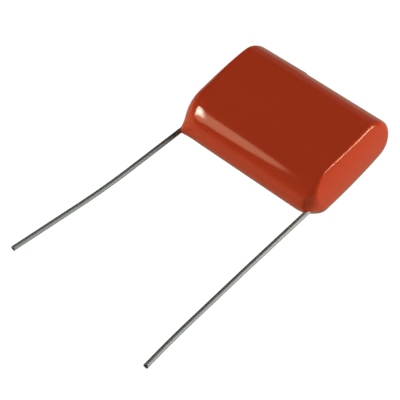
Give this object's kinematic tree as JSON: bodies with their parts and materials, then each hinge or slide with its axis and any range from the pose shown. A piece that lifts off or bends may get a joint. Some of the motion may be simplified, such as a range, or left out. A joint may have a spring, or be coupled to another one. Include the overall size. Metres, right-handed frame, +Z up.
{
  "type": "film capacitor",
  "caption": "Dipped polyester film capacitor: flat oval block with rounded sides and two long, slightly bent wire leads from one side.",
  "frame": {"origin": "middle of the lower of the two flat sides, on which the part lies", "axes": "+X from the left lead to the right one, -Y the way both leads point, +Z up through the body's thickness"},
  "size_m": [0.0294, 0.0513, 0.0093],
  "materials": {
    "coat": "glossy brick-red dipped epoxy",
    "film": "metallised film, seen edge on as fine turns",
    "wrap": "clear plain film, slightly milky",
    "sprayed_metal": "rough, matt, flame-sprayed",
    "solder": "smooth, slightly dull",
    "tinned_wire": "tinned, drawn, satin"
  },
  "bodies": {
    "root": {"epoxy_coat": "coat", "film_winding": "film", "outer_wrap": "wrap", "end_spray_left": "sprayed_metal", "end_spray_right": "sprayed_metal", "solder_joint_left": "solder", "solder_joint_right": "solder", "lead_left": "tinned_wire", "lead_right": "tinned_wire"}
  },
  "joints": []
}
